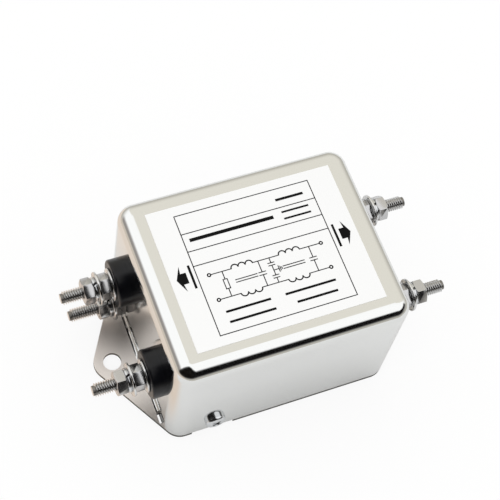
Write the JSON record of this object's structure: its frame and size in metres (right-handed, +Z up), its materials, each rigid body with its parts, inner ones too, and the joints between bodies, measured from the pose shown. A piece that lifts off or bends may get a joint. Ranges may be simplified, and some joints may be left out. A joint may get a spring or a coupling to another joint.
{
  "type": "emi line filter",
  "caption": "Single-phase mains EMI filter in a drawn nickel-plated steel can, with insulated M4 stud terminals at both ends, an earth stud and a base plate with fixing ears",
  "frame": {"origin": "centre of the rectangular base, on the underside of the base plate", "axes": "+X from the line end to the load end, through both fixing ears; +Y across, towards the live studs and the earth stud; +Z up, from the base plate to the labelled top"},
  "size_m": [0.1104, 0.0608, 0.0455],
  "materials": {
    "nickel_plate": "bright nickel plate on drawn steel",
    "label_film": "printed white film",
    "zinc_screw": "bright zinc plate",
    "nickel_brass": "nickel plate on brass",
    "black_insulator": "moulded black thermoset, satin",
    "tinned_copper": "tin plate on copper",
    "liner_card": "insulating sheet",
    "spacer_plastic": "natural nylon",
    "board_laminate": "phenolic laminate",
    "ferrite": "coated ferrite",
    "enamelled_copper": "enamelled copper wire",
    "capacitor_box": "moulded film-capacitor box",
    "capacitor_disc": "dipped ceramic disc",
    "resistor_body": "lacquered body"
  },
  "bodies": {
    "root": {"base_plate": "nickel_plate", "cover": "nickel_plate", "label": "label_film", "cover_screw_front": "zinc_screw", "cover_screw_rear": "zinc_screw", "line_live_stud": "nickel_brass", "line_live_nuts": "nickel_brass", "line_live_flat_washers": "nickel_brass", "line_live_spring_washer": "zinc_screw", "line_live_bushing": "black_insulator", "line_live_collar": "black_insulator", "line_live_strap": "tinned_copper", "line_neutral_stud": "nickel_brass", "line_neutral_nuts": "nickel_brass", "line_neutral_flat_washers": "nickel_brass", "line_neutral_spring_washer": "zinc_screw", "line_neutral_bushing": "black_insulator", "line_neutral_collar": "black_insulator", "line_neutral_strap": "tinned_copper", "load_live_stud": "nickel_brass", "load_live_nuts": "nickel_brass", "load_live_flat_washers": "nickel_brass", "load_live_spring_washer": "zinc_screw", "load_live_bushing": "black_insulator", "load_live_collar": "black_insulator", "load_live_strap": "tinned_copper", "load_neutral_stud": "nickel_brass", "load_neutral_nuts": "nickel_brass", "load_neutral_flat_washers": "nickel_brass", "load_neutral_spring_washer": "zinc_screw", "load_neutral_bushing": "black_insulator", "load_neutral_collar": "black_insulator", "load_neutral_strap": "tinned_copper", "earth_stud": "nickel_brass", "earth_nuts": "nickel_brass", "earth_flat_washer": "nickel_brass", "earth_spring_washer": "zinc_screw", "earth_strap": "tinned_copper", "insulating_liner": "liner_card", "board_spacers": "spacer_plastic", "circuit_board": "board_laminate", "choke_base_line": "spacer_plastic", "choke_base_load": "spacer_plastic", "choke_core_line": "ferrite", "choke_core_load": "ferrite", "winding_line_live": "enamelled_copper", "winding_line_neutral": "enamelled_copper", "winding_load_live": "enamelled_copper", "winding_load_neutral": "enamelled_copper", "x_capacitor_line": "capacitor_box", "x_capacitor_middle": "capacitor_box", "x_capacitor_load": "capacitor_box", "y_capacitor_live": "capacitor_disc", "y_capacitor_neutral": "capacitor_disc", "bleed_resistor": "resistor_body"}
  },
  "joints": []
}
